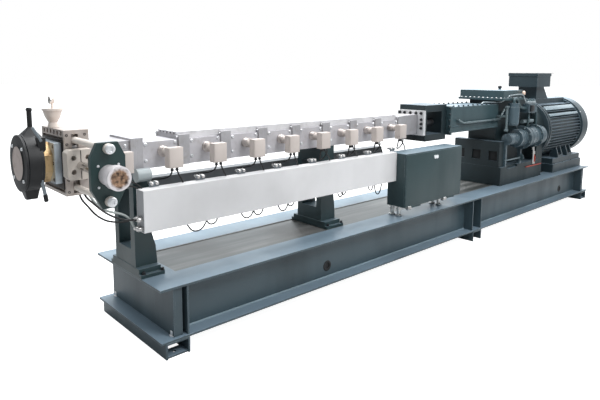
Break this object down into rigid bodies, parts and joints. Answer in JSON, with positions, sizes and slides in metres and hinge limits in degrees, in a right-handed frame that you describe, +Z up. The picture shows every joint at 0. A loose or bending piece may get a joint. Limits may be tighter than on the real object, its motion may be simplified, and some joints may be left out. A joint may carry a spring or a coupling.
{
  "type": "twin screw extruder",
  "caption": "Twin screw extruder on an H-beam bed: heated barrel line, screen changer head with pelletiser hood, gearbox and drive motor.",
  "frame": {"origin": "on the floor, at the centre of the four floor anchor holes, under the middle of the bed", "axes": "+X along the screws from the pelletising die to the drive motor, +Y to the side away from the control cabinet, +Z up"},
  "size_m": [6.321, 1.055, 1.506],
  "materials": {
    "drive_paint": "satin",
    "bed_paint": "satin",
    "barrel_steel": "satin",
    "cabinet_paint": "satin",
    "clasp_steel": "satin",
    "trunking_paint": "satin",
    "manifold_paint": "satin",
    "motor_paint": "satin",
    "deck_steel": "worn",
    "die_bronze": "worn",
    "die_steel": "satin",
    "head_steel": "satin",
    "gauge_steel": "satin",
    "heater_aluminium": "satin",
    "terminal_case": "satin",
    "disc_steel": "satin",
    "pipe_steel": "satin",
    "hood_paint": "satin",
    "coupling_paint": "satin",
    "slide_steel": "satin",
    "machine_paint": "satin",
    "rod_chrome": "polished",
    "shaft_steel": "satin",
    "can_paint": "satin",
    "tie_rod_paint": "satin"
  },
  "bodies": {
    "frame": {"barrel_mounting_flange": "drive_paint", "barrel_posts": "bed_paint", "barrel_sections": "barrel_steel", "bed_flanges": "bed_paint", "bed_webs": "bed_paint", "cabinet_body": "cabinet_paint", "cabinet_feet": "clasp_steel", "cable_trunking": "trunking_paint", "cooling_manifold": "manifold_paint", "coupling_bell": "motor_paint", "coupling_lantern": "drive_paint", "deck_cross_members": "bed_paint", "deck_plate": "deck_steel", "die_block": "die_bronze", "die_plate": "die_steel", "foot_channels": "bed_paint", "gear_housing": "drive_paint", "gearbox_base": "drive_paint", "gearbox_body": "drive_paint", "gearbox_cover": "drive_paint", "gearbox_end_casing": "drive_paint", "gearbox_front_wall": "drive_paint", "head_adapter": "barrel_steel", "head_body": "head_steel", "head_gauge": "gauge_steel", "heater_guards": "heater_aluminium", "heater_shells": "heater_aluminium", "heater_terminal_boxes": "terminal_case", "hood_disc": "disc_steel", "motor_body": "motor_paint", "motor_cowl": "motor_paint", "motor_feet": "motor_paint", "motor_pedestal": "motor_paint", "motor_terminal_box": "motor_paint", "oil_filter": "drive_paint", "oil_pipes": "pipe_steel", "oil_pump": "drive_paint", "oil_valve_block": "pipe_steel", "pelletiser_hood": "hood_paint", "ram_cylinder": "slide_steel", "ram_plate": "machine_paint", "screw_couplings": "shaft_steel", "support_can": "can_paint", "tie_rods": "tie_rod_paint"},
    "screen_changer_slide": {"screen_slide": "slide_steel", "ram_coupling": "coupling_paint", "ram_rod": "rod_chrome"},
    "cabinet_drop_door": {"cabinet_door": "cabinet_paint", "cabinet_clasp": "clasp_steel"}
  },
  "joints": [
    {"name": "screen_shift", "type": "slide", "parent": "frame", "child": "screen_changer_slide", "axis": [0, -1, 0], "range_m": [0, 0.1]},
    {"name": "cabinet_door_hinge", "type": "hinge", "parent": "frame", "child": "cabinet_drop_door", "pos_m": [-0.39, -0.371, 0.463], "axis": [1, 0, 0], "range_deg": [0, 90]}
  ]
}
